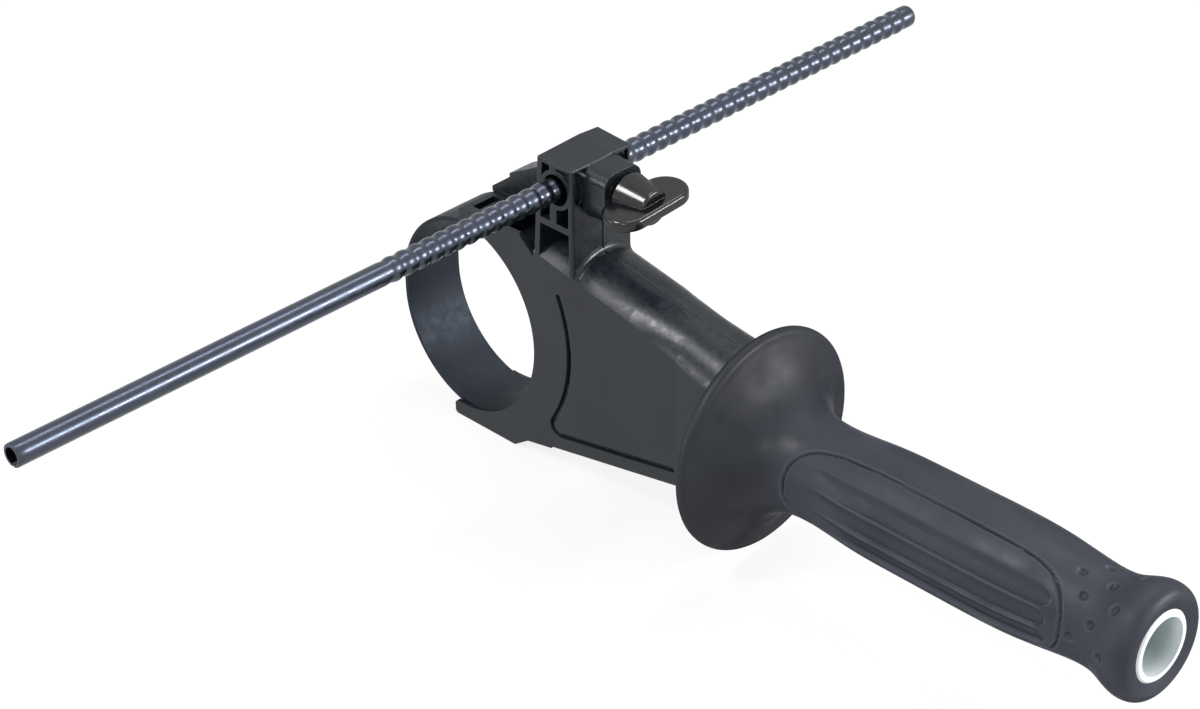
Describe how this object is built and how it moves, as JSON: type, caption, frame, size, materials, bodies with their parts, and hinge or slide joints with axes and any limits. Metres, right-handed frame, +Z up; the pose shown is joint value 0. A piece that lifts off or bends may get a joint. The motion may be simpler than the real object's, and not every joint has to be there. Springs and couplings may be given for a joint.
{
  "type": "power tool side handle",
  "caption": "Side handle for a large rotary hammer: steel strap clamp, flanged soft grip that turns to tighten, and a sliding depth rod held by a wing screw.",
  "frame": {"origin": "centre of the saddle, which is the centre of the tool neck that the handle is clamped on", "axes": "+Y along the tool's own axis and the depth rod, +X along the handle to the end of the grip, +Z up to the depth rod"},
  "size_m": [0.2846, 0.3512, 0.1067],
  "materials": {
    "base_nylon": "satin charcoal glass-filled nylon",
    "strap_steel": "dark satin phosphated strip",
    "zinc_steel": "zinc-plated, satin",
    "core_nylon": "satin white nylon",
    "grip_elastomer": "matt dark blue-grey elastomer",
    "rod_steel": "satin bright rolled steel",
    "knob_nylon": "glossy charcoal nylon",
    "pad_brass": "turned brass"
  },
  "bodies": {
    "base": {"clamp_base": "base_nylon", "thrust_washer": "zinc_steel", "thumb_nut": "zinc_steel"},
    "strap_carriage": {"clamp_strap": "strap_steel", "anchor_pin": "zinc_steel", "eye_bolt": "zinc_steel"},
    "grip": {"grip_core": "core_nylon", "grip_nut": "zinc_steel", "grip_sleeve": "grip_elastomer"},
    "rod": {"depth_rod": "rod_steel"},
    "pad_carriage": {"pressure_pad": "pad_brass"},
    "thumb_screw": {"thumb_knob": "knob_nylon", "thumb_stud": "zinc_steel"}
  },
  "joints": [
    {"name": "grip_turn", "type": "hinge", "parent": "base", "child": "grip", "pos_m": [0.1143, 0, 0], "axis": [1, 0, 0], "range_deg": [0, 2160]},
    {"name": "clamp_travel", "type": "slide", "parent": "base", "child": "strap_carriage", "axis": [1, 0, 0], "range_m": [-0.00751, 0]},
    {"name": "rod_slide", "type": "slide", "parent": "base", "child": "rod", "axis": [0, 1, 0], "range_m": [-0.13, 0.19]},
    {"name": "pad_travel", "type": "slide", "parent": "base", "child": "pad_carriage", "axis": [1, 0, 0], "range_m": [0, 0.00201]},
    {"name": "thumb_turn", "type": "hinge", "parent": "pad_carriage", "child": "thumb_screw", "pos_m": [0.062, 0, 0.0593], "axis": [1, 0, 0], "range_deg": [0, 720]}
  ],
  "couplings": [
    {"joint": "clamp_travel", "follows": "grip_turn", "m_per_rad": -0.00019894},
    {"joint": "pad_travel", "follows": "thumb_turn", "m_per_rad": 0.00015915}
  ]
}
